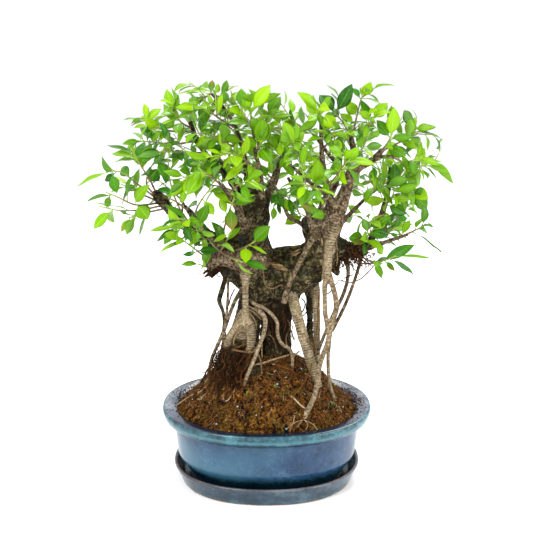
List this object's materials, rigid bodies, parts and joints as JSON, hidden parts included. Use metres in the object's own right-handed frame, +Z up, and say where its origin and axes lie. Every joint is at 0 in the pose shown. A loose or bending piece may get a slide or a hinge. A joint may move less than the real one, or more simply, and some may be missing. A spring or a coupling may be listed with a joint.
{
  "type": "bonsai fig tree in a glazed pot",
  "caption": "Small-leaved fig bonsai with fused aerial roots, a bridge of old wood and leafy heads, in an oval glazed pot on a drip tray.",
  "frame": {"origin": "centre of the drip tray's underside, which is the surface that it stands on", "axes": "+Z up, +X to the viewer's right, +Y away from the front; the pot's long axis lies along X"},
  "size_m": [0.5099, 0.3342, 0.5742],
  "materials": {
    "glaze_pot": "gloss",
    "glaze_tray": "gloss",
    "screen": "matte",
    "soil": "matte",
    "bark": "matte",
    "leaf": "satin"
  },
  "bodies": {
    "root": {"branch_front_left": "leaf", "branch_front_limb": "leaf", "branch_front_right": "leaf", "branch_left_01": "leaf", "branch_left_02": "leaf", "branch_left_03": "leaf", "branch_left_04": "leaf", "branch_left_05": "leaf", "branch_left_06": "leaf", "branch_left_07": "leaf", "branch_left_08": "leaf", "branch_left_09": "leaf", "branch_left_10": "leaf", "branch_left_11": "leaf", "branch_left_12": "leaf", "branch_left_13": "leaf", "branch_middle_01": "leaf", "branch_middle_02": "leaf", "branch_rear_left": "leaf", "branch_rear_limb": "leaf", "branch_rear_middle": "leaf", "branch_rear_right_01": "leaf", "branch_rear_right_02": "leaf", "branch_right_01": "leaf", "branch_right_02": "leaf", "branch_right_03": "leaf", "branch_right_04": "leaf", "branch_right_05": "leaf", "branch_stub_01": "leaf", "branch_stub_02": "leaf", "branch_upper_left_01": "leaf", "branch_upper_left_02": "leaf", "branch_upper_left_03": "leaf", "branch_upper_left_04": "leaf", "branch_upper_left_05": "leaf", "branch_upper_left_06": "leaf", "branch_upper_left_07": "leaf", "branch_upper_left_08": "leaf", "branch_upper_left_09": "leaf", "branch_upper_right_01": "leaf", "branch_upper_right_02": "leaf", "branch_upper_right_03": "leaf", "branch_upper_right_04": "leaf", "branch_upper_right_05": "leaf", "branch_upper_right_06": "leaf", "branch_upper_right_07": "leaf", "branch_upper_right_08": "leaf", "drain_screen_left": "screen", "drain_screen_right": "screen", "drip_tray": "glaze_tray", "pot": "glaze_pot", "soil": "soil", "tree": "bark"}
  },
  "joints": []
}
